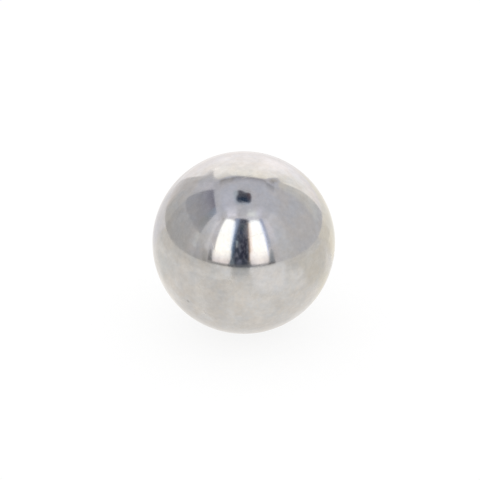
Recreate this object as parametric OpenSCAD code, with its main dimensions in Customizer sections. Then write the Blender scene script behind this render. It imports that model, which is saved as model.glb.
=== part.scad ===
// Polished steel ball: one solid, ground and lapped, with no bore, flat or seam.
// Millimetres, +Z up. The origin is the ball's centre.

/* [Ball] */
// Diameter of the ball
ball_d = 12.7; // [3.2:0.1:25.4]

/* [Smoothness] */
// Number of facets once round the ball when it is drawn as a mesh
ball_facets = 128; // [32:8:256]

/* [Hidden] */
steel_colour = [0.76, 0.76, 0.75];

// The whole ball. Its lowest point, where it sits in a cup or groove, is ball_d / 2 under the origin.
module ball() {
    color(steel_colour)
        sphere(d = ball_d, $fn = ball_facets);
}

ball();
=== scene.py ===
import math
import random
from typing import NamedTuple

import bpy
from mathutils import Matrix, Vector


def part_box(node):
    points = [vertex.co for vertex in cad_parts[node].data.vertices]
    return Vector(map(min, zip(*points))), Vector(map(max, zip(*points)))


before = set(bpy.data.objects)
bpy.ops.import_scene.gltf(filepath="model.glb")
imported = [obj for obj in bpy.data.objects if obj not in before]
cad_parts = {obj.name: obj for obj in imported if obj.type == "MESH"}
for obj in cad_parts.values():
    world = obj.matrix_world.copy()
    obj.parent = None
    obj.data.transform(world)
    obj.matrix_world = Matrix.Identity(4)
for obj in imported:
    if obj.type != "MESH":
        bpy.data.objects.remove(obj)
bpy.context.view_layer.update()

# ---- Sizes, in metres, from the frame -------------------------------------------------------

BALL_LOW, BALL_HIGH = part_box("ball")
CENTRE = (BALL_LOW + BALL_HIGH) / 2
RADIUS = (BALL_HIGH.z - BALL_LOW.z) / 2
FLOOR_Z = BALL_LOW.z

# The light tent is a box. Its half width is a little under twenty ball radii.
TENT_HALF = 19.5 * RADIUS

# ---- Camera ---------------------------------------------------------------------------------

CAMERA_ELEVATION = math.radians(27.5)
LENS = 150.0  # mm
SENSOR = 36.0  # mm
# The next three are shares of the picture's width.
BALL_SHARE = 0.3808  # how wide the ball looks
BALL_RIGHT = 0.0077  # how far its centre is right of the picture's
BALL_DOWN = 0.0053  # and under it
CLIP_RANGE = 100  # it sees from its distance from the ball over this to that distance times this


# ---- Node graphs ----------------------------------------------------------------------------

# Sockets of a colour mix. They go by number, because other kinds of mix have the same names.
MIX_FACTOR = 0
MIX_FIRST = 6
MIX_SECOND = 7
MIX_RESULT = 2


class Pattern(NamedTuple):
    """A noise texture, and the stretch of its values over which what it draws fades in."""

    scale: float  # roughly, how many blotches there are to a length of 1
    detail: float
    start: float  # none of it shows under this value
    end: float  # and all of it over this one
    roughness: float = 0.5
    distortion: float = 0.0
    dimensions: str = "3D"  # in 1D it varies along a single number


class Graph:
    """A short way to write a node tree.

    A value given to an input is a number, a colour or another node's output.
    """

    def __init__(self, tree):
        tree.nodes.clear()
        self.tree = tree

    def add(self, kind, inputs=None, **settings):
        """Adds a node, sets its properties and feeds its inputs, which go by name or by number."""
        node = self.tree.nodes.new(kind)
        for name, value in settings.items():
            setattr(node, name, value)
        for name, value in (inputs or {}).items():
            self.feed(node.inputs[name], value)
        return node

    def feed(self, socket, value):
        if isinstance(value, bpy.types.NodeSocket):
            self.tree.links.new(value, socket)
        else:
            socket.default_value = value

    def calculate(self, operation, *values, clamp=False):
        node = self.add("ShaderNodeMath", dict(enumerate(values)), operation=operation)
        node.use_clamp = clamp
        return node.outputs["Value"]

    def vector(self, operation, *vectors, result="Vector"):
        """Works on vectors. The result is a Vector or, for some operations, a Value."""
        node = self.add("ShaderNodeVectorMath", dict(enumerate(vectors)), operation=operation)
        return node.outputs[result]

    def ramp(self, value, start, end, low=0.0, high=1.0):
        """Goes smoothly from low to high as value goes from start to end."""
        inputs = {"Value": value, "From Min": start, "From Max": end, "To Min": low, "To Max": high}
        return self.add("ShaderNodeMapRange", inputs, interpolation_type="SMOOTHSTEP").outputs["Result"]

    def mix(self, factor, first, second):
        """Mixes two colours."""
        inputs = {MIX_FACTOR: factor, MIX_FIRST: first, MIX_SECOND: second}
        return self.add("ShaderNodeMix", inputs, data_type="RGBA").outputs[MIX_RESULT]

    def tint(self, colour, amount):
        """Multiplies a colour by a number, without its fourth number. A place will do as well."""
        if isinstance(colour, tuple):
            colour = colour[:3]
        node = self.add("ShaderNodeVectorMath", {0: colour, "Scale": amount}, operation="SCALE")
        return node.outputs["Vector"]

    def noise(self, place, pattern, low=0.0, high=1.0):
        """Draws a pattern over a place, going from low, where there is none of it, to high."""
        place_socket = "W" if pattern.dimensions == "1D" else "Vector"
        inputs = {
            place_socket: place,
            "Scale": pattern.scale,
            "Detail": pattern.detail,
            "Roughness": pattern.roughness,
            "Distortion": pattern.distortion,
        }
        node = self.add("ShaderNodeTexNoise", inputs, noise_dimensions=pattern.dimensions)
        return self.ramp(node.outputs["Fac"], pattern.start, pattern.end, low, high)

    def stretched_noise(self, place, stretch, pattern, low=0.0, high=1.0):
        """Draws a pattern over a place, with its own scale for each direction."""
        mapping = self.add("ShaderNodeMapping", {"Vector": place, "Scale": stretch})
        return self.noise(mapping.outputs["Vector"], pattern, low, high)

    def show(self, shader):
        """Makes shader the surface, and ends the graph."""
        self.add("ShaderNodeOutputMaterial", {"Surface": shader})


def new_material(name):
    material = bpy.data.materials.new(name)
    material.use_nodes = True
    return material, Graph(material.node_tree)


# ---- The ball: polished steel ---------------------------------------------------------------

# Places on the ball are in ball radii, so a pattern's scale is in blotches to a radius.
STEEL = (0.575, 0.565, 0.55, 1)
STEEL_WARM = (0.585, 0.562, 0.53, 1)
STEEL_COOL = (0.56, 0.568, 0.575, 1)
WARMTH_PATTERN = Pattern(scale=5.5, detail=4.0, start=0.3, end=0.7, roughness=0.75)

MOTTLE = 0.055  # how much lighter and darker than that it is in patches
MOTTLE_PATTERN = Pattern(scale=4.7, detail=3.0, start=0.2, end=0.8, roughness=0.95)
GRAIN = 0.048  # and in smaller ones
GRAIN_PATTERN = Pattern(scale=15.0, detail=2.0, start=0.25, end=0.75, roughness=0.8)

POLISH = 0.075  # roughness of the clean lapped surface
SMEAR = 0.04  # what a handling smear adds to it
SMEAR_COVER = 0.5  # how much of the warm and cool clouding a smear hides
SMEAR_PATTERN = Pattern(scale=2.2, detail=4.0, start=0.42, end=0.68, roughness=0.6, distortion=0.4)

SCRATCH = 0.10  # what a scratch adds to the roughness
SCRATCH_DEPTH = 0.0006 * RADIUS
BUMP_STRENGTH = 0.08
LAP_DIRECTIONS = 6
LAP_SEED = 4
LAP_SHIFT = 9  # each direction's runs come from another part of the pattern, up to this far off
LAP_LINES = Pattern(scale=70.0, detail=2.0, start=0.66, end=0.74, dimensions="1D")
LAP_RUNS = Pattern(scale=2.6, detail=1.0, start=0.50, end=0.66)

# A speck at full strength has this colour, roughness and depth. The pits and the fleck are weaker.
SPECK = (0.12, 0.11, 0.10, 1)
SPECK_ROUGH = 0.4  # what it adds to the roughness
SPECK_DEPTH = 2.0  # in depths of a scratch

PIT_STRENGTH = 0.12
PIT_CELLS = 7.0  # to a ball radius. A cell has one pit at most
PIT_CORE = 0.02  # how far from its middle a pit has its full strength, in cells
PIT_EDGE = 0.035  # and how far from there it reaches
PIT_GROUPS = Pattern(scale=3.1, detail=0.0, start=0.56, end=0.60)

FLECK_STRENGTH = 0.3
FLECK_AZIMUTH = math.radians(-39)  # from the side nearest the camera, towards its right
FLECK_ELEVATION = math.radians(-19)
FLECK_RADIUS = 0.018  # in ball radii
FLECK_BLUR = 0.5  # how far its edge fades, inwards and outwards, next to its own radius

SEAM_GAP = 1e-5  # m. Vertices closer than this are one


def direction(azimuth, elevation):
    """The unit vector at an azimuth from the camera's side and an elevation over the horizon."""
    level = math.cos(elevation)
    return Vector((math.sin(azimuth) * level, -math.cos(azimuth) * level, math.sin(elevation)))


def lap_scratches(graph, place):
    """How deep in a scratch a place is: fine arcs in a few directions, broken into short runs."""
    rng = random.Random(LAP_SEED)
    found = None
    for _ in range(LAP_DIRECTIONS):
        axis = Vector([rng.gauss(0, 1) for _ in range(3)]).normalized()
        shift = Vector([rng.uniform(-LAP_SHIFT, LAP_SHIFT) for _ in range(3)])
        lines = graph.noise(graph.vector("DOT_PRODUCT", place, axis, result="Value"), LAP_LINES)
        runs = graph.noise(graph.vector("ADD", place, shift), LAP_RUNS)
        broken = graph.calculate("MULTIPLY", lines, runs)
        found = broken if found is None else graph.calculate("MAXIMUM", found, broken)
    return found


def specks(graph, place):
    """How strong a speck is at a place: a few tiny pits over the ball, and the one larger fleck."""
    cells = graph.add(
        "ShaderNodeTexVoronoi", {"Vector": place, "Scale": PIT_CELLS, "Randomness": 1.0}, feature="F1"
    )
    near = graph.ramp(cells.outputs["Distance"], PIT_EDGE, PIT_CORE)
    pits = graph.calculate("MULTIPLY", near, graph.noise(place, PIT_GROUPS))
    fleck_place = direction(FLECK_AZIMUTH, FLECK_ELEVATION)
    from_fleck = graph.vector("DISTANCE", place, fleck_place, result="Value")
    outside, inside = FLECK_RADIUS * (1 + FLECK_BLUR), FLECK_RADIUS * (1 - FLECK_BLUR)
    fleck = graph.ramp(from_fleck, outside, inside)
    pits = graph.calculate("MULTIPLY", pits, PIT_STRENGTH)
    fleck = graph.calculate("MULTIPLY", fleck, FLECK_STRENGTH)
    return graph.calculate("MAXIMUM", pits, fleck)


def steel_colour(graph, place, smear, speck):
    """Neutral steel, clouded warm and cool, uneven in brightness, and dark in the specks."""
    clouded = graph.mix(graph.noise(place, WARMTH_PATTERN), STEEL_COOL, STEEL_WARM)
    metal = graph.mix(graph.calculate("MULTIPLY", smear, SMEAR_COVER), clouded, STEEL)
    mottle = graph.noise(place, MOTTLE_PATTERN, 1 - MOTTLE, 1 + MOTTLE)
    grain = graph.noise(place, GRAIN_PATTERN, 1 - GRAIN, 1 + GRAIN)
    metal = graph.tint(metal, graph.calculate("MULTIPLY", mottle, grain))
    return graph.mix(speck, metal, SPECK)


def polished_steel():
    """Bright lapped steel, with handling smears, lapping scratches, pits and one fleck."""
    material, graph = new_material("lapped_steel")
    where = graph.add("ShaderNodeTexCoord").outputs["Object"]
    place = graph.tint(where, 1 / RADIUS)
    smear = graph.noise(place, SMEAR_PATTERN)
    scratch = lap_scratches(graph, place)
    speck = specks(graph, place)

    rough = graph.calculate("MULTIPLY_ADD", smear, SMEAR, POLISH)
    rough = graph.calculate("MULTIPLY_ADD", scratch, SCRATCH, rough)
    rough = graph.calculate("MULTIPLY_ADD", speck, SPECK_ROUGH, rough, clamp=True)

    depth = graph.calculate("MULTIPLY_ADD", speck, SPECK_DEPTH, scratch)
    bump = graph.add(
        "ShaderNodeBump",
        {"Height": depth, "Strength": BUMP_STRENGTH, "Distance": SCRATCH_DEPTH},
        invert=True,
    )
    steel = graph.add(
        "ShaderNodeBsdfPrincipled",
        {
            "Base Color": steel_colour(graph, place, smear, speck),
            "Metallic": 1.0,
            "Roughness": rough,
            "Normal": bump.outputs["Normal"],
        },
    )
    graph.show(steel.outputs["BSDF"])
    return material


def finish_ball():
    """Gives the CAD ball its steel, and rounds its facets off onto the true sphere."""
    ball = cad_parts["ball"]
    ball.data.materials[0] = polished_steel()
    closer = ball.modifiers.new("close_the_seam", "WELD")
    closer.merge_threshold = SEAM_GAP
    finer = ball.modifiers.new("finer_facets", "SUBSURF")
    finer.subdivision_type = "SIMPLE"
    finer.levels = finer.render_levels = 1
    rounder = ball.modifiers.new("true_sphere", "CAST")
    rounder.cast_type = "SPHERE"
    rounder.factor = 1.0
    rounder.use_radius_as_size = False
    rounder.size = RADIUS
    smoother = ball.modifiers.new("true_normals", "NORMAL_EDIT")
    smoother.mode = "RADIAL"


# ---- The light tent: what the ball mirrors --------------------------------------------------

# It stands for the light tent that the photo's ball was in, as that ball's reflections show it.
# A place on a wall is (across, up) in half widths of the tent, measured from the ball's centre.
# Across runs to the right on the front and back walls and away from the camera on the side walls.
# On the ceiling and the floor it runs to the right, and up runs away from the camera.
CEILING = 1.7  # how high the ceiling is
FLOOR = (FLOOR_Z - CENTRE.z) / TENT_HALF  # and the floor
WALLS = {
    "front": lambda across, up: Vector((across, -1, up)),
    "back": lambda across, up: Vector((across, 1, up)),
    "left": lambda across, up: Vector((-1, across, up)),
    "right": lambda across, up: Vector((1, across, up)),
    "ceiling": lambda across, up: Vector((across, up, CEILING)),
    "floor": lambda across, up: Vector((across, up, FLOOR)),
}
LAYER_GAP = 0.001  # each panel on a wall hangs this share of its distance nearer than the last

# How many folds and patches there are to a half width, across and up, and how they are drawn.
FOLDS = (5, 2, 1)
FOLD_PATTERN = Pattern(scale=1.0, detail=3.0, start=0.3, end=0.7)
PATCHES = (16, 8, 1)
PATCH_PATTERN = Pattern(scale=1.0, detail=1.0, start=0.48, end=0.62)


class Panel(NamedTuple):
    """A patch of light or dark on a wall.

    Its colours are of light, in which 1 is the world's white. A colour's fourth number says how
    solid a soft-edged panel is there, from 0 to 1. Its corners go round it, either way, and it has
    no dents. They may lie past the wall's edges, where the other walls and the floor hide it.
    """

    name: str
    wall: str
    low: tuple  # colour at its lowest corner
    high: tuple  # and at its highest
    soft: float  # width of the edge over which it fades out. With 0 it is solid all over
    corners: list
    uneven: float = 0.0  # how much its folds lighten and darken it
    patchy: bool = False  # shows only in patches


def rectangle(left, right, low, high):
    return [(left, low), (right, low), (right, high), (left, high)]


def whole_wall(name, wall, low, high, corners):
    """The plain cloth of a wall, without soft edges."""
    return Panel(name, wall, low, high, soft=0, corners=corners, uneven=CLOTH_UNEVEN)


def floor_place(bearing, distance):
    """A place on the floor. A bearing of 0 degrees is towards the camera, and 90 is to its right."""
    angle = math.radians(bearing)
    return (math.sin(angle) * distance, -math.cos(angle) * distance)


def wedge(start, end, near, far):
    """A stretch of floor between two bearings and two distances from the ball."""
    corners = [(start, near), (end, near), (end, far), (start, far)]
    return [floor_place(bearing, distance) for bearing, distance in corners]


WALL_OUTLINE = rectangle(-1, 1, FLOOR, CEILING)
CLOTH_GREY = (0.73, 0.73, 0.79, 1)
CLOTH_UNEVEN = 0.03

# The lists below are in the order of hanging: a panel hangs in front of those before it.
# First comes the tent's plain cloth.
CLOTH = [
    whole_wall("front_wall", "front", (0.74, 0.72, 0.74, 1), (0.90, 0.90, 0.99, 1), WALL_OUTLINE),
    whole_wall("left_wall", "left", (0.60, 0.59, 0.59, 1), (0.74, 0.74, 0.82, 1), WALL_OUTLINE),
    whole_wall("right_wall", "right", (0.72, 0.71, 0.73, 1), CLOTH_GREY, WALL_OUTLINE),
    whole_wall("back_wall", "back", (0.74, 0.71, 0.70, 1), CLOTH_GREY, WALL_OUTLINE),
    whole_wall("ceiling", "ceiling", CLOTH_GREY, (0.70, 0.70, 0.77, 1), rectangle(-1, 1, -1, 1)),
]

# The gap the camera looks in by, and the two openings beside it that let the daylight in.
# Each opening has a cool fringe on its right, and the right one a warm fringe on its left.
DAYLIGHT_LOW = (1.86, 1.83, 1.76, 1)
DAYLIGHT_HIGH = (1.82, 1.87, 1.90, 1)
FRONT = [
    Panel(
        "front_right_cloth",
        "front",
        low=(0.76, 0.74, 0.76, 1),
        high=(0.92, 0.93, 0.98, 1),
        soft=0.10,
        corners=[(0.80, FLOOR), (1.2, FLOOR), (1.2, 1.35), (0.78, 1.45)],
    ),
    Panel(
        "front_right_light",
        "front",
        low=(0.98, 0.96, 1.02, 0.9),
        high=(1.04, 1.00, 1.10, 0.9),
        soft=0.30,
        corners=[(0.62, 0.46), (1.3, 0.46), (1.3, 1.52), (0.62, 1.52)],
    ),
    Panel(
        "front_left_shade",
        "front",
        low=(0.74, 0.73, 0.74, 0),
        high=(0.58, 0.58, 0.60, 1),
        soft=0.07,
        corners=[(-0.96, 0.90), (-0.76, 0.90), (-0.72, 1.76), (-0.96, 1.76)],
    ),
    Panel(
        "gap",
        "front",
        low=(0.055, 0.065, 0.095, 1),
        high=(0.13, 0.14, 0.18, 1),
        soft=0.05,
        corners=[
            (-0.36, FLOOR),
            (0.20, FLOOR),
            (0.20, 1.38),
            (0.14, 1.51),
            (-0.14, 1.575),
            (-0.28, 1.59),
            (-0.36, 1.52),
        ],
    ),
    Panel(
        "gap_left_edge",
        "front",
        low=(0.14, 0.20, 0.29, 0.9),
        high=(0.40, 0.48, 0.69, 1),
        soft=0.05,
        corners=[(-0.34, 0.12), (-0.19, 0.16), (-0.105, 1.54), (-0.34, 1.58)],
    ),
    Panel(
        "gap_right_side",
        "front",
        low=(0.14, 0.12, 0.15, 0.9),
        high=(0.12, 0.12, 0.15, 1),
        soft=0.05,
        corners=[(0.00, 0.62), (0.20, 0.62), (0.20, 1.46), (0.02, 1.46)],
    ),
    Panel(
        "gap_right_light",
        "front",
        low=(0.22, 0.21, 0.25, 1),
        high=(0.23, 0.24, 0.27, 0.8),
        soft=0.05,
        corners=[(-0.01, 0.70), (0.20, 0.70), (0.20, 1.18), (-0.01, 1.15)],
    ),
    Panel(
        "gap_figure",
        "front",
        low=(0.035, 0.045, 0.10, 1),
        high=(0.09, 0.13, 0.14, 1),
        soft=0.05,
        corners=[(-0.12, 0.74), (-0.01, 0.74), (0.03, 1.10), (-0.02, 1.20), (-0.11, 1.10), (-0.13, 0.90)],
    ),
    Panel(
        "gap_left_foot",
        "front",
        low=(0.10, 0.12, 0.17, 0.5),
        high=(0.08, 0.11, 0.17, 1),
        soft=0.04,
        corners=[(-0.22, 0.62), (-0.14, 0.62), (-0.13, 0.98), (-0.20, 0.98)],
    ),
    Panel(
        "gap_head",
        "front",
        low=(0.10, 0.12, 0.16, 0.5),
        high=(0.030, 0.034, 0.078, 1),
        soft=0.04,
        corners=[(-0.14, 1.14), (0.09, 1.14), (0.11, 1.40), (0.04, 1.485), (-0.12, 1.50), (-0.17, 1.41)],
    ),
    Panel(
        "gap_core",
        "front",
        low=(0.040, 0.042, 0.068, 1),
        high=(0.065, 0.065, 0.10, 1),
        soft=0.06,
        corners=[(-0.10, 0.10), (0.08, 0.10), (0.11, 0.62), (-0.09, 0.66)],
    ),
    Panel(
        "gap_foot",
        "front",
        low=(0.27, 0.32, 0.37, 1),
        high=(0.15, 0.19, 0.25, 0.6),
        soft=0.05,
        corners=[(-0.36, FLOOR), (-0.16, FLOOR), (-0.18, 0.26), (-0.34, 0.26)],
    ),
    Panel(
        "gap_middle_foot",
        "front",
        low=(0.15, 0.17, 0.22, 1),
        high=(0.09, 0.10, 0.14, 0.8),
        soft=0.04,
        corners=[(-0.18, FLOOR), (-0.02, FLOOR), (-0.04, 0.16), (-0.16, 0.17)],
    ),
    Panel(
        "gap_right_foot",
        "front",
        low=(0.18, 0.18, 0.18, 1),
        high=(0.16, 0.14, 0.13, 0.5),
        soft=0.04,
        corners=[(0.05, FLOOR), (0.20, FLOOR), (0.17, 0.20), (0.08, 0.20)],
    ),
    Panel(
        "gap_glint",
        "front",
        low=(0.48, 0.50, 0.54, 1),
        high=(0.42, 0.52, 0.60, 1),
        soft=0.035,
        corners=[(-0.19, 0.37), (-0.12, 0.38), (-0.12, 0.59), (-0.20, 0.58)],
    ),
    Panel(
        "gap_clutter",
        "front",
        low=(0.26, 0.27, 0.34, 0.7),
        high=(0.24, 0.27, 0.32, 0.4),
        soft=0.05,
        corners=[(-0.22, 0.02), (0.18, 0.02), (0.20, 1.44), (-0.20, 1.44)],
        patchy=True,
    ),
    Panel(
        "left_daylight",
        "front",
        low=DAYLIGHT_LOW,
        high=DAYLIGHT_HIGH,
        soft=0.06,
        corners=[
            (-0.69, 0.00),
            (-0.31, 0.00),
            (-0.265, 0.20),
            (-0.247, 0.50),
            (-0.235, 1.00),
            (-0.25, 1.20),
            (-0.29, 1.38),
            (-0.37, 1.48),
            (-0.55, 1.58),
            (-0.70, 1.64),
            (-0.755, 1.50),
            (-0.79, 1.00),
            (-0.78, 0.34),
            (-0.745, 0.13),
        ],
    ),
    Panel(
        "right_daylight",
        "front",
        low=DAYLIGHT_LOW,
        high=DAYLIGHT_HIGH,
        soft=0.035,
        corners=[
            (0.195, 0.00),
            (0.52, 0.00),
            (0.57, 0.11),
            (0.60, 0.27),
            (0.617, 0.70),
            (0.605, 1.25),
            (0.59, 1.42),
            (0.46, 1.475),
            (0.30, 1.435),
            (0.19, 1.355),
            (0.15, 1.26),
            (0.127, 0.90),
            (0.13, 0.50),
            (0.145, 0.22),
        ],
    ),
    Panel(
        "left_daylight_cool_side",
        "front",
        low=(1.45, 1.52, 1.62, 0.6),
        high=(1.50, 1.64, 1.92, 0.8),
        soft=0.04,
        corners=[(-0.35, 0.12), (-0.275, 0.12), (-0.245, 1.00), (-0.265, 1.40), (-0.35, 1.40)],
    ),
    Panel(
        "right_daylight_warm_side",
        "front",
        low=(1.60, 1.36, 1.24, 0.9),
        high=(1.70, 1.43, 1.27, 0.9),
        soft=0.05,
        corners=[(0.11, 0.06), (0.215, 0.06), (0.235, 0.80), (0.23, 1.28), (0.15, 1.28)],
    ),
    Panel(
        "right_daylight_cool_side",
        "front",
        low=(1.48, 1.54, 1.66, 0.7),
        high=(1.44, 1.60, 1.80, 0.8),
        soft=0.04,
        corners=[(0.53, 0.06), (0.59, 0.06), (0.625, 0.70), (0.61, 1.42), (0.54, 1.42)],
    ),
    Panel(
        "left_daylight_haze",
        "front",
        low=(1.06, 0.98, 1.00, 1),
        high=(1.68, 1.62, 1.52, 0.6),
        soft=0.04,
        corners=[(-0.79, -0.01), (-0.30, -0.01), (-0.25, 0.14), (-0.24, 0.34), (-0.83, 0.34)],
    ),
    Panel(
        "left_daylight_middle",
        "front",
        low=(1.74, 1.62, 1.60, 0.4),
        high=(1.84, 1.78, 1.68, 0.7),
        soft=0.07,
        corners=[(-0.58, 0.01), (-0.42, 0.01), (-0.40, 0.34), (-0.60, 0.34)],
    ),
    Panel(
        "right_daylight_haze",
        "front",
        low=(1.22, 1.13, 1.13, 1),
        high=(1.68, 1.60, 1.54, 0.6),
        soft=0.04,
        corners=[(0.13, -0.01), (0.62, -0.01), (0.66, 0.32), (0.10, 0.30)],
    ),
    Panel(
        "right_daylight_middle",
        "front",
        low=(1.66, 1.56, 1.54, 0.6),
        high=(1.84, 1.78, 1.70, 0.7),
        soft=0.07,
        corners=[(0.25, -0.04), (0.47, -0.04), (0.48, 0.32), (0.26, 0.32)],
    ),
    Panel(
        "left_daylight_rim",
        "front",
        low=(0.55, 0.70, 0.90, 0.8),
        high=(0.92, 1.08, 1.52, 0.95),
        soft=0.03,
        corners=[
            (-0.30, 0.10),
            (-0.25, 0.10),
            (-0.222, 0.95),
            (-0.228, 1.30),
            (-0.27, 1.30),
            (-0.29, 0.60),
        ],
    ),
    Panel(
        "right_daylight_rim",
        "front",
        low=(0.74, 0.50, 0.36, 1),
        high=(1.02, 0.74, 0.58, 1),
        soft=0.03,
        corners=[(0.105, 0.10), (0.15, 0.10), (0.165, 0.80), (0.175, 1.25), (0.13, 1.25), (0.105, 0.80)],
    ),
    Panel(
        "right_daylight_far_rim",
        "front",
        low=(0.82, 0.94, 1.36, 1),
        high=(0.80, 0.93, 1.62, 1),
        soft=0.03,
        corners=[(0.56, 0.15), (0.61, 0.15), (0.64, 0.70), (0.63, 1.36), (0.585, 1.44), (0.565, 0.70)],
    ),
    Panel(
        "left_daylight_foot",
        "front",
        low=(0.27, 0.27, 0.28, 1),
        high=(0.36, 0.36, 0.37, 0.8),
        soft=0.08,
        corners=[(-1.02, FLOOR), (-0.72, FLOOR), (-0.775, 0.20), (-0.84, 0.36), (-0.96, 0.36)],
    ),
    Panel(
        "right_daylight_foot",
        "front",
        low=(0.33, 0.36, 0.40, 1),
        high=(0.42, 0.47, 0.53, 0.9),
        soft=0.06,
        corners=[(0.54, FLOOR), (0.80, FLOOR), (0.77, 0.34), (0.69, 0.40), (0.58, 0.22)],
    ),
    Panel(
        "right_daylight_edge",
        "front",
        low=(0.60, 0.66, 0.80, 0.8),
        high=(0.37, 0.43, 0.65, 1),
        soft=0.05,
        corners=[(0.61, 0.35), (0.74, 0.35), (0.76, 1.70), (0.60, 1.62)],
    ),
    Panel(
        "sill",
        "front",
        low=(0.42, 0.41, 0.41, 1),
        high=(0.46, 0.45, 0.45, 1),
        soft=0.035,
        corners=rectangle(-0.98, 0.20, FLOOR - 0.02, 0.02),
    ),
    Panel(
        "sill_right",
        "front",
        low=(0.27, 0.28, 0.32, 1),
        high=(0.40, 0.39, 0.41, 1),
        soft=0.035,
        corners=rectangle(0.12, 0.60, FLOOR - 0.02, 0.018),
    ),
    Panel(
        "sill_right_end",
        "front",
        low=(0.12, 0.12, 0.13, 1),
        high=(0.18, 0.18, 0.20, 1),
        soft=0.035,
        corners=rectangle(0.54, 0.80, FLOOR - 0.02, 0.03),
    ),
    Panel(
        "sill_under_gap",
        "front",
        low=(0.17, 0.18, 0.20, 1),
        high=(0.15, 0.16, 0.19, 1),
        soft=0.035,
        corners=rectangle(-0.34, 0.16, FLOOR - 0.02, 0.02),
    ),
]

# The white drape behind the ball, and the darker bands beside it and over it.
DRAPE_LOW = (1.30, 1.25, 1.26, 1)
DRAPE_MIDDLE = (1.36, 1.31, 1.30, 1)
DRAPE_HIGH = (1.30, 1.26, 1.18, 1)
BACK = [
    Panel(
        "back_left_foot",
        "back",
        low=(0.98, 0.94, 0.94, 1),
        high=(0.78, 0.75, 0.75, 0.5),
        soft=0.12,
        corners=[(-0.98, FLOOR - 0.15), (-0.36, FLOOR - 0.15), (-0.50, 0.44), (-0.90, 0.46)],
        uneven=0.03,
    ),
    Panel(
        "drape_foot",
        "back",
        low=DRAPE_LOW,
        high=DRAPE_MIDDLE,
        soft=0.06,
        corners=[
            (-0.40, FLOOR - 0.12),
            (0.92, FLOOR - 0.12),
            (1.12, 0.32),
            (1.15, 0.78),
            (-0.46, 0.92),
            (-0.70, 0.92),
            (-0.71, 0.70),
            (-0.685, 0.50),
            (-0.62, 0.28),
            (-0.55, 0.12),
        ],
        uneven=0.04,
    ),
    Panel(
        "drape_left_fold",
        "back",
        low=(1.18, 1.13, 1.14, 0.9),
        high=(1.38, 1.34, 1.31, 0.6),
        soft=0.12,
        corners=[(-0.52, 0.00), (-0.12, 0.00), (-0.24, 0.90), (-0.62, 0.90), (-0.66, 0.50), (-0.62, 0.22)],
        uneven=0.03,
    ),
    Panel(
        "drape_left_shade",
        "back",
        low=(1.08, 1.04, 1.05, 0),
        high=(0.76, 0.74, 0.75, 1),
        soft=0.10,
        corners=[(-0.86, 0.36), (-0.41, 0.44), (-0.40, 1.00), (-0.86, 1.00)],
    ),
    Panel(
        "drape",
        "back",
        low=DRAPE_MIDDLE,
        high=DRAPE_HIGH,
        soft=0.05,
        corners=[
            (-0.40, 0.60),
            (0.86, 0.60),
            (0.785, 1.20),
            (0.70, 1.80),
            (-0.62, 1.80),
            (-0.74, 1.66),
            (-0.765, 1.50),
            (-0.755, 1.34),
            (-0.715, 1.18),
            (-0.62, 0.98),
            (-0.455, 0.68),
        ],
        uneven=0.05,
    ),
    Panel(
        "drape_left_light",
        "back",
        low=(1.46, 1.42, 1.38, 0.9),
        high=(1.46, 1.42, 1.37, 0.3),
        soft=0.12,
        corners=[(-0.50, 0.66), (-0.18, 0.66), (-0.24, 1.26), (-0.58, 1.26), (-0.58, 1.00)],
    ),
    Panel(
        "drape_side",
        "back",
        low=(1.27, 1.23, 1.20, 1),
        high=(1.08, 1.05, 1.00, 1),
        soft=0.16,
        corners=[(0.52, 0.15), (1.20, 0.05), (1.20, 1.52), (0.92, 1.38), (0.76, 1.26), (0.58, 1.00)],
        uneven=0.03,
    ),
    Panel(
        "drape_bright_fold",
        "back",
        low=(1.52, 1.46, 1.50, 0.9),
        high=(1.50, 1.44, 1.42, 0.6),
        soft=0.12,
        corners=[(0.08, 0.00), (0.42, 0.00), (0.54, 0.50), (0.50, 1.20), (0.22, 1.20)],
    ),
    Panel(
        "drape_upper_left",
        "back",
        low=(1.12, 1.08, 1.05, 0.2),
        high=(0.88, 0.85, 0.83, 0.95),
        soft=0.12,
        corners=[(-0.86, 1.14), (-0.38, 1.14), (-0.20, 1.86), (-0.86, 1.86)],
    ),
    Panel(
        "drape_far_corner",
        "back",
        low=(0.74, 0.70, 0.66, 0.7),
        high=(0.48, 0.46, 0.46, 1),
        soft=0.07,
        corners=[(0.76, 1.22), (0.90, 1.28), (1.02, 1.46), (1.02, 1.85), (0.76, 1.85)],
    ),
    Panel(
        "drape_hem",
        "back",
        low=(1.09, 1.05, 1.05, 1),
        high=(1.30, 1.24, 1.26, 0),
        soft=0.01,
        corners=[(-0.44, FLOOR - 0.02), (1.0, FLOOR - 0.02), (1.0, 0.46), (-0.56, 0.46), (-0.54, 0.18)],
    ),
    Panel(
        "over_drape",
        "ceiling",
        low=(0.58, 0.59, 0.68, 0.3),
        high=(0.38, 0.37, 0.40, 1),
        soft=0.07,
        corners=[(-0.40, 0.60), (0.72, 0.54), (0.74, 0.84), (0.60, 0.90), (0.10, 0.92), (-0.40, 0.94)],
    ),
    Panel(
        "over_drape_left",
        "ceiling",
        low=(0.58, 0.56, 0.58, 0.3),
        high=(0.38, 0.37, 0.37, 1),
        soft=0.09,
        corners=[(-0.80, 0.50), (-0.30, 0.54), (-0.22, 0.82), (-0.30, 0.90), (-0.78, 0.96)],
    ),
    Panel(
        "drape_top",
        "ceiling",
        low=(1.12, 1.08, 1.02, 1),
        high=DRAPE_HIGH,
        soft=0.10,
        corners=[
            (-0.50, 1.01),
            (0.09, 0.80),
            (0.50, 0.828),
            (0.64, 0.865),
            (0.73, 0.93),
            (0.83, 1.08),
            (-0.50, 1.10),
        ],
        uneven=0.05,
    ),
    Panel(
        "behind_drape_corner",
        "ceiling",
        low=(0.56, 0.54, 0.55, 0.7),
        high=(0.54, 0.52, 0.53, 1),
        soft=0.08,
        corners=[(0.80, 0.76), (1.04, 0.80), (1.04, 1.08), (0.84, 1.08), (0.74, 0.92)],
    ),
]

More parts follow.
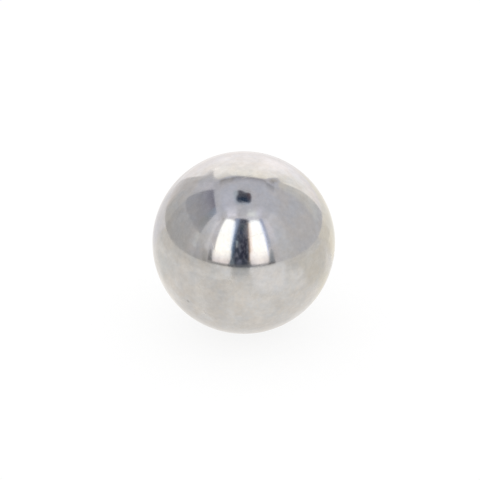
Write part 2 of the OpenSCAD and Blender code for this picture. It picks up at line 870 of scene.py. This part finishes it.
# The side walls: paler and warmer stretches of their cloth, the dark screen on the left, and the
# end of the drape on the right.
SIDES = [
    Panel(
        "left_front_glow",
        "left",
        low=(0.86, 0.85, 0.88, 1),
        high=(1.06, 1.06, 1.14, 1),
        soft=0.20,
        corners=[(-1.3, 0.10), (-0.68, 0.20), (-0.62, 1.40), (-1.3, 1.70)],
        uneven=0.05,
    ),
    Panel(
        "left_front_foot",
        "left",
        low=(0.64, 0.62, 0.63, 1),
        high=(0.76, 0.75, 0.76, 0.7),
        soft=0.12,
        corners=[(-0.88, FLOOR), (-0.24, FLOOR), (-0.30, 0.56), (-0.80, 0.60)],
    ),
    Panel(
        "left_corner_foot",
        "left",
        low=(0.46, 0.46, 0.46, 1),
        high=(0.60, 0.60, 0.60, 0.2),
        soft=0.06,
        corners=[(-1.1, FLOOR - 0.06), (-0.78, FLOOR - 0.06), (-0.84, 0.14), (-1.1, 0.24)],
    ),
    Panel(
        "left_back_cloth",
        "left",
        low=(0.74, 0.73, 0.72, 0.5),
        high=(0.79, 0.78, 0.86, 1),
        soft=0.06,
        corners=[
            (0.48, 0.10),
            (0.62, FLOOR - 0.1),
            (1.2, FLOOR - 0.1),
            (1.2, 1.8),
            (0.52, 1.8),
            (0.50, 1.3),
        ],
        uneven=0.03,
    ),
    Panel(
        "left_front_light",
        "left",
        low=(0.76, 0.76, 0.78, 0.9),
        high=(0.88, 0.88, 0.96, 0.9),
        soft=0.12,
        corners=[(-0.92, 0.36), (-0.44, 0.36), (-0.44, 1.62), (-0.92, 1.62)],
    ),
    Panel(
        "left_screen",
        "left",
        low=(0.46, 0.46, 0.49, 0.7),
        high=(0.34, 0.34, 0.42, 1),
        soft=0.06,
        corners=[
            (-0.55, 0.47),
            (0.45, 0.50),
            (0.60, 0.58),
            (0.58, 1.17),
            (0.56, 1.765),
            (-0.50, 1.605),
            (-0.625, 1.54),
        ],
        uneven=0.05,
    ),
    Panel(
        "left_screen_near_side",
        "left",
        low=(0.41, 0.43, 0.43, 0.5),
        high=(0.42, 0.47, 0.58, 1),
        soft=0.08,
        corners=[(-0.56, 0.60), (-0.26, 0.60), (-0.26, 1.645), (-0.50, 1.61), (-0.62, 1.54)],
    ),
    Panel(
        "left_screen_top",
        "left",
        low=(0.38, 0.38, 0.47, 0.0),
        high=(0.26, 0.26, 0.33, 1),
        soft=0.06,
        corners=[(-0.36, 1.10), (0.54, 1.10), (0.56, 1.765), (-0.36, 1.626)],
    ),
    Panel(
        "left_handle",
        "left",
        low=(0.78, 0.78, 0.79, 1),
        high=(0.80, 0.80, 0.80, 1),
        soft=0.05,
        corners=rectangle(-0.56, -0.39, 0.14, 0.52),
    ),
    Panel(
        "right_near_cloth",
        "right",
        low=(0.78, 0.78, 0.80, 0.8),
        high=(0.88, 0.88, 0.95, 1),
        soft=0.20,
        corners=[(-1.3, -0.10), (-0.42, -0.10), (-0.36, 1.30), (-0.50, 1.60), (-1.3, 1.80)],
    ),
    Panel(
        "right_far_cloth",
        "right",
        low=(0.80, 0.80, 0.80, 0.9),
        high=(0.80, 0.78, 0.76, 0.8),
        soft=0.16,
        corners=[(0.30, 0.02), (1.1, 0.02), (1.1, 1.45), (0.52, 1.40), (0.40, 0.90)],
    ),
    Panel(
        "right_warm_cloth",
        "right",
        low=(0.87, 0.86, 0.84, 0.9),
        high=(0.86, 0.83, 0.80, 1),
        soft=0.12,
        corners=[(0.60, 0.20), (1.1, 0.10), (1.1, 1.52), (0.62, 1.48)],
    ),
    Panel(
        "drape_right",
        "right",
        low=(1.22, 1.16, 1.13, 1),
        high=(1.34, 1.29, 1.20, 1),
        soft=0.08,
        corners=[
            (0.90, FLOOR - 0.1),
            (1.2, FLOOR - 0.1),
            (1.2, 1.48),
            (0.94, 1.28),
            (0.84, 0.95),
            (0.83, 0.50),
        ],
        uneven=0.04,
    ),
]

# The ceiling: paler, cooler and darker patches of its cloth, and the small dark opening in it.
OVERHEAD = [
    Panel(
        "ceiling_cool_side",
        "ceiling",
        low=(0.77, 0.78, 0.90, 0.9),
        high=(0.72, 0.74, 0.84, 0.9),
        soft=0.16,
        corners=[
            (-0.86, -0.72),
            (-0.18, -0.72),
            (-0.12, 0.30),
            (-0.20, 0.52),
            (-0.66, 0.52),
            (-0.84, 0.20),
        ],
    ),
    Panel(
        "left_pale_patch",
        "ceiling",
        low=(1.22, 1.22, 1.40, 1),
        high=(0.98, 0.99, 1.10, 0.3),
        soft=0.14,
        corners=[(-0.72, -1.04), (-0.22, -1.04), (-0.19, -0.56), (-0.30, -0.38), (-0.70, -0.42)],
    ),
    Panel(
        "right_pale_patch",
        "ceiling",
        low=(1.28, 1.32, 1.28, 1),
        high=(0.94, 0.95, 1.02, 0.4),
        soft=0.14,
        corners=[(0.06, -1.04), (0.64, -1.04), (0.68, -0.58), (0.10, -0.56)],
    ),
    Panel(
        "right_lilac_patch",
        "ceiling",
        low=(0.92, 0.92, 1.10, 0.8),
        high=(0.86, 0.86, 0.98, 0.6),
        soft=0.12,
        corners=[(0.42, -1.00), (0.80, -1.00), (0.78, -0.44), (0.46, -0.44)],
    ),
    Panel(
        "right_corner_shade",
        "ceiling",
        low=(0.54, 0.54, 0.58, 0.4),
        high=(0.38, 0.38, 0.41, 1),
        soft=0.12,
        corners=[(0.68, 0.34), (1.10, 0.34), (1.10, 0.72), (0.94, 0.76), (0.60, 0.80)],
    ),
    Panel(
        "opening_halo",
        "ceiling",
        low=(0.54, 0.62, 0.76, 0.7),
        high=(0.54, 0.63, 0.72, 0.8),
        soft=0.07,
        corners=[
            (-0.24, -0.50),
            (0.20, -0.49),
            (0.26, -0.34),
            (0.06, 0.12),
            (-0.31, 0.20),
            (-0.365, 0.06),
            (-0.35, -0.34),
        ],
    ),
    Panel(
        "opening",
        "ceiling",
        low=(0.040, 0.065, 0.12, 1),
        high=(0.10, 0.10, 0.13, 1),
        soft=0.03,
        corners=[
            (-0.17, -0.385),
            (0.19, -0.395),
            (0.245, -0.36),
            (0.268, -0.14),
            (0.22, 0.01),
            (0.14, 0.062),
            (-0.13, 0.045),
            (-0.235, -0.06),
            (-0.262, -0.18),
            (-0.248, -0.30),
        ],
    ),
    Panel(
        "opening_warm_side",
        "ceiling",
        low=(0.12, 0.10, 0.13, 0.5),
        high=(0.14, 0.09, 0.10, 1),
        soft=0.04,
        corners=[(0.12, -0.30), (0.26, -0.30), (0.26, -0.12), (0.20, 0.05), (0.09, 0.05)],
    ),
    Panel(
        "opening_notch",
        "ceiling",
        low=(0.10, 0.11, 0.14, 1),
        high=(0.17, 0.165, 0.21, 1),
        soft=0.05,
        corners=[(-0.19, -0.08), (0.09, -0.08), (0.04, 0.09), (-0.04, 0.165), (-0.14, 0.19), (-0.22, 0.13)],
    ),
    Panel(
        "opening_depth",
        "ceiling",
        low=(0.010, 0.030, 0.08, 1),
        high=(0.016, 0.045, 0.09, 0.9),
        soft=0.04,
        corners=[
            (-0.17, -0.37),
            (0.12, -0.38),
            (0.12, -0.22),
            (0.04, -0.14),
            (-0.22, -0.13),
            (-0.235, -0.28),
        ],
    ),
]

# Where the floor is duller or brighter than elsewhere.
UNDERFOOT = [
    Panel(
        "floor_behind",
        "floor",
        low=(1.02, 0.98, 0.98, 0.6),
        high=(1.25, 1.20, 1.20, 1),
        soft=0.08,
        corners=[(-0.10, 0.05), (0.10, 0.05), (0.90, 1.1), (-0.72, 1.1)],
    ),
    Panel(
        "floor_back_left",
        "floor",
        low=(0.94, 0.92, 0.94, 1),
        high=(1.0, 0.98, 1.0, 1),
        soft=0.05,
        corners=wedge(-157, -117, 0.11, 1.5),
    ),
    Panel(
        "floor_back_right",
        "floor",
        low=(0.94, 0.89, 0.80, 1),
        high=(1.04, 1.00, 0.94, 1),
        soft=0.05,
        corners=wedge(105, 150, 0.12, 1.5),
    ),
    Panel(
        "floor_back_right_end",
        "floor",
        low=(1.02, 0.98, 0.90, 1),
        high=(1.12, 1.08, 1.00, 1),
        soft=0.04,
        corners=wedge(124, 164, 0.08, 1.5),
    ),
    Panel(
        "floor_back_right_patch",
        "floor",
        low=(1.07, 1.01, 0.89, 1),
        high=(1.09, 1.03, 0.91, 1),
        soft=0.02,
        corners=wedge(117, 140, 0.10, 0.24),
    ),
    Panel(
        "floor_right",
        "floor",
        low=(0.88, 0.85, 0.79, 1),
        high=(0.88, 0.84, 0.78, 1),
        soft=0.03,
        corners=wedge(62, 112, 0.08, 0.42),
    ),
    Panel(
        "floor_right_near",
        "floor",
        low=(1.00, 0.95, 0.84, 1),
        high=(1.00, 0.95, 0.84, 1),
        soft=0.03,
        corners=wedge(84, 128, 0.03, 0.12),
    ),
    Panel(
        "floor_left",
        "floor",
        low=(0.92, 0.90, 0.87, 0.9),
        high=(0.90, 0.88, 0.84, 0.9),
        soft=0.03,
        corners=wedge(-118, -84, 0.07, 0.2),
    ),
    Panel(
        "floor_front_left",
        "floor",
        low=(0.96, 0.93, 0.90, 0.9),
        high=(0.95, 0.92, 0.89, 1),
        soft=0.02,
        corners=wedge(-80, -42, 0.05, 0.2),
    ),
    # Painted shade on the floor in front of the ball and to the left, reaching in to its foot.
    Panel(
        "floor_front_shade",
        "floor",
        low=(0.91, 0.88, 0.85, 1),
        high=(0.90, 0.87, 0.84, 1),
        soft=0.02,
        corners=wedge(-46, -12, 0.03, 0.21),
    ),
    # Painted shadow of the ball on the floor round its foot, as the steel shows it.
    Panel(
        "floor_contact_shadow",
        "floor",
        low=(0.93, 0.90, 0.87, 1),
        high=(0.93, 0.90, 0.87, 1),
        soft=0.015,
        corners=rectangle(-0.06, 0.01, -0.04, 0.01),
    ),
    Panel(
        "floor_daylit",
        "floor",
        low=(1.00, 0.99, 0.98, 1),
        high=(1.10, 1.09, 1.10, 0.8),
        soft=0.03,
        corners=wedge(6, 50, 0.10, 1.5),
    ),
    Panel(
        "floor_daylit_left",
        "floor",
        low=(1.0, 0.99, 0.98, 1),
        high=(1.0, 1.0, 1.01, 0.8),
        soft=0.05,
        corners=wedge(-33, -8, 0.18, 1.5),
    ),
    Panel(
        "floor_front_light",
        "floor",
        low=(1.07, 1.04, 1.01, 0.9),
        high=(1.06, 1.03, 1.00, 0.9),
        soft=0.02,
        corners=wedge(-4, 34, 0.025, 0.11),
    ),
    # Painted shade in the floor's corner by the front and left walls.
    Panel(
        "floor_left_corner_shade",
        "floor",
        low=(0.50, 0.50, 0.51, 1),
        high=(0.66, 0.65, 0.66, 0.6),
        soft=0.10,
        corners=[(-1.1, -1.1), (-0.60, -1.1), (-0.56, -0.84), (-0.70, -0.64), (-1.1, -0.50)],
    ),
    Panel(
        "gap_shade",
        "floor",
        low=(0.50, 0.51, 0.50, 1),
        high=(0.70, 0.69, 0.68, 1),
        soft=0.04,
        corners=[(-0.28, -1.05), (0.155, -1.05), (0.035, -0.26), (-0.08, -0.26)],
    ),
    Panel(
        "gap_shade_near",
        "floor",
        low=(0.74, 0.73, 0.72, 1),
        high=(0.94, 0.91, 0.88, 0.3),
        soft=0.03,
        corners=[(-0.08, -0.32), (0.035, -0.32), (0.012, -0.11), (-0.04, -0.11)],
    ),
]

PANELS = CLOTH + FRONT + BACK + SIDES + OVERHEAD + UNDERFOOT


def new_sheet(name, points, material):
    """A flat sheet of the surroundings, which is no part of the object."""
    mesh = bpy.data.meshes.new(name)
    mesh.from_pydata(points, [], [range(len(points))])
    mesh.materials.append(material)
    sheet = bpy.data.objects.new(name, mesh)
    bpy.context.collection.objects.link(sheet)
    return sheet


def fade_edges(graph, place, corners, soft):
    """How solid the panel is at a place: 1 inside, and over the soft width falling to 0 at its outline."""
    ends = corners[1:] + corners[:1]
    turn = sum(a[0] * b[1] - b[0] * a[1] for a, b in zip(corners, ends))  # under 0 is clockwise
    cover = None
    for start, end in zip(corners, ends):
        along = Vector(end) - Vector(start)
        inward = Vector((-along.y, along.x)).normalized() * math.copysign(1, turn)
        depth = graph.vector("DOT_PRODUCT", place, (inward.x, inward.y, 0), result="Value")
        outline = inward.dot(Vector(start))
        inside = graph.ramp(depth, outline, outline + soft)
        cover = inside if cover is None else graph.calculate("MULTIPLY", cover, inside)
    return cover


def climb(graph, panel, up, low=0.0, high=1.0):
    """Goes from low at the height of the panel's lowest corner to high at that of its highest."""
    heights = [corner[1] for corner in panel.corners]
    return graph.ramp(up, min(heights), max(heights), low, high)


def panel_colour(graph, panel, place, up):
    """The panel's low colour going to its high one, with the folds of its cloth."""
    colour = graph.mix(climb(graph, panel, up), panel.low, panel.high)
    if panel.uneven:
        darkest, lightest = 1 - panel.uneven, 1 + panel.uneven
        folds = graph.stretched_noise(place, FOLDS, FOLD_PATTERN, darkest, lightest)
        colour = graph.tint(colour, folds)
    return colour


def panel_cover(graph, panel, place, up):
    """How solid a soft-edged panel is at a place, from 0 to 1."""
    solid = climb(graph, panel, up, panel.low[3], panel.high[3])
    cover = fade_edges(graph, place, panel.corners, panel.soft)
    cover = graph.calculate("MULTIPLY", cover, solid)
    if panel.patchy:
        patches = graph.stretched_noise(place, PATCHES, PATCH_PATTERN)
        cover = graph.calculate("MULTIPLY", cover, patches)
    return cover


def panel_material(panel):
    """Light given off by a panel, and what hangs behind it where it isn't solid."""
    material, graph = new_material(panel.name)
    place = graph.add("ShaderNodeTexCoord").outputs["UV"]
    up = graph.add("ShaderNodeSeparateXYZ", {0: place}).outputs["Y"]
    colour = panel_colour(graph, panel, place, up)
    light = graph.add("ShaderNodeEmission", {"Color": colour, "Strength": 1.0}).outputs[0]
    if panel.soft:
        cover = panel_cover(graph, panel, place, up)
        clear = graph.add("ShaderNodeBsdfTransparent").outputs[0]
        light = graph.add("ShaderNodeMixShader", {0: cover, 1: clear, 2: light}).outputs[0]
    graph.show(light)
    material.cycles.emission_sampling = "NONE"
    return material


def hang_panel(panel, layer):
    """Hangs a panel in the tent. Only shiny surfaces see it: the world alone lights the floor."""
    scale = TENT_HALF * (1 - LAYER_GAP * layer)
    points = [CENTRE + WALLS[panel.wall](*corner) * scale for corner in panel.corners]
    sheet = new_sheet("tent_" + panel.name, points, panel_material(panel))
    places = sheet.data.uv_layers.new(name="UVMap")
    for loop, corner in enumerate(panel.corners):
        places.data[loop].uv = corner
    sheet.visible_camera = False
    sheet.visible_diffuse = False
    sheet.visible_shadow = False


def hang_tent():
    layers = dict.fromkeys(WALLS, 1)  # from 1, so that the floor's first panel lies clear of it
    for panel in PANELS:
        hang_panel(panel, layers[panel.wall])
        layers[panel.wall] += 1


# ---- Floor, world and camera ----------------------------------------------------------------

FLOOR_WHITE = (1.02, 1.02, 1.02, 1)
SHADOW_SHARE = 0.2  # how much of the floor's light a full shadow takes away

# The rest is for the floor as the steel shows it.
FLOOR_SEEN = (1.035, 1.005, 0.97, 1)
FLOOR_EDGE = 0.82  # painted shade near the walls: how bright the floor is there, next to the middle
FLOOR_DIMS_FROM = 0.08  # the painted shade deepens between these distances from the ball, in half widths of the tent
FLOOR_DIMS_TO = 0.42
FLOOR_UNEVEN = 0.08  # how much lighter and darker it is in patches
FLOOR_PATTERN = Pattern(scale=13.0, detail=6.0, start=0.3, end=0.7, roughness=0.7)


def floor_seen_colour(graph):
    """The floor as the steel shows it: a pale warm white, uneven, and darker towards the walls with painted
    shade.
    """
    place = graph.tint(graph.add("ShaderNodeTexCoord").outputs["Object"], 1 / TENT_HALF)
    from_ball = graph.vector("LENGTH", place, result="Value")
    # painted shade: the floor darker towards the walls
    painted_wall_shade = graph.ramp(from_ball, FLOOR_DIMS_FROM, FLOOR_DIMS_TO, 1.0, FLOOR_EDGE)
    mottle = graph.noise(place, FLOOR_PATTERN, 1 - FLOOR_UNEVEN, 1 + FLOOR_UNEVEN)
    return graph.tint(graph.tint(FLOOR_SEEN, mottle), painted_wall_shade)


def floor_material():
    """White with the ball's soft shadow, and paler or duller where the steel mirrors it.

    The world lights a small share of it, which takes the shadow. The rest it gives off itself.
    """
    material, graph = new_material("white_floor")
    rays = graph.add("ShaderNodeLightPath").outputs
    colour = graph.mix(rays["Is Glossy Ray"], FLOOR_WHITE, floor_seen_colour(graph))
    lit = graph.add("ShaderNodeBsdfDiffuse", {"Color": graph.tint(colour, SHADOW_SHARE)}).outputs[0]
    seen = graph.calculate("MAXIMUM", rays["Is Camera Ray"], rays["Is Glossy Ray"])
    seen = graph.calculate("MAXIMUM", seen, rays["Is Transmission Ray"])
    strength = graph.calculate("MULTIPLY", seen, 1 - SHADOW_SHARE)
    glow = graph.add("ShaderNodeEmission", {"Color": colour, "Strength": strength}).outputs[0]
    graph.show(graph.add("ShaderNodeAddShader", {0: lit, 1: glow}).outputs[0])
    material.cycles.emission_sampling = "NONE"
    return material


def make_floor():
    corners = rectangle(-TENT_HALF, TENT_HALF, -TENT_HALF, TENT_HALF)
    new_sheet("floor", [(x, y, FLOOR_Z) for x, y in corners], floor_material())


def light_world():
    """Even soft white light from all sides, at the level where a white surface renders white."""
    world = bpy.data.worlds.new("studio")
    world.use_nodes = True
    graph = Graph(world.node_tree)
    sky = graph.add("ShaderNodeBackground", {"Color": (1, 1, 1, 1), "Strength": 1.0})
    graph.add("ShaderNodeOutputWorld", {"Surface": sky.outputs[0]})
    bpy.context.scene.world = world


def place_camera():
    """Looks down at the ball, from where it is as large and as far off centre as it should be."""
    half_view = SENSOR / 2 / LENS  # half the picture's width, at a distance of 1
    distance = RADIUS / math.sin(math.atan(BALL_SHARE * half_view))
    picture = 2 * half_view * distance  # the picture's width, at the ball
    back = direction(0, CAMERA_ELEVATION)
    right = Vector((1, 0, 0))
    up = back.cross(right)
    aim = CENTRE - right * BALL_RIGHT * picture + up * BALL_DOWN * picture
    lens = bpy.data.cameras.new("camera")
    lens.lens = LENS
    lens.sensor_width = SENSOR
    lens.clip_start = distance / CLIP_RANGE
    lens.clip_end = distance * CLIP_RANGE
    camera = bpy.data.objects.new("camera", lens)
    bpy.context.collection.objects.link(camera)
    camera.location = CENTRE + back * distance
    camera.rotation_mode = "QUATERNION"
    camera.rotation_quaternion = (aim - camera.location).to_track_quat("-Z", "Y")
    bpy.context.scene.camera = camera


place_camera()
finish_ball()
make_floor()
hang_tent()
light_world()
bpy.context.scene.view_settings.view_transform = "Standard"
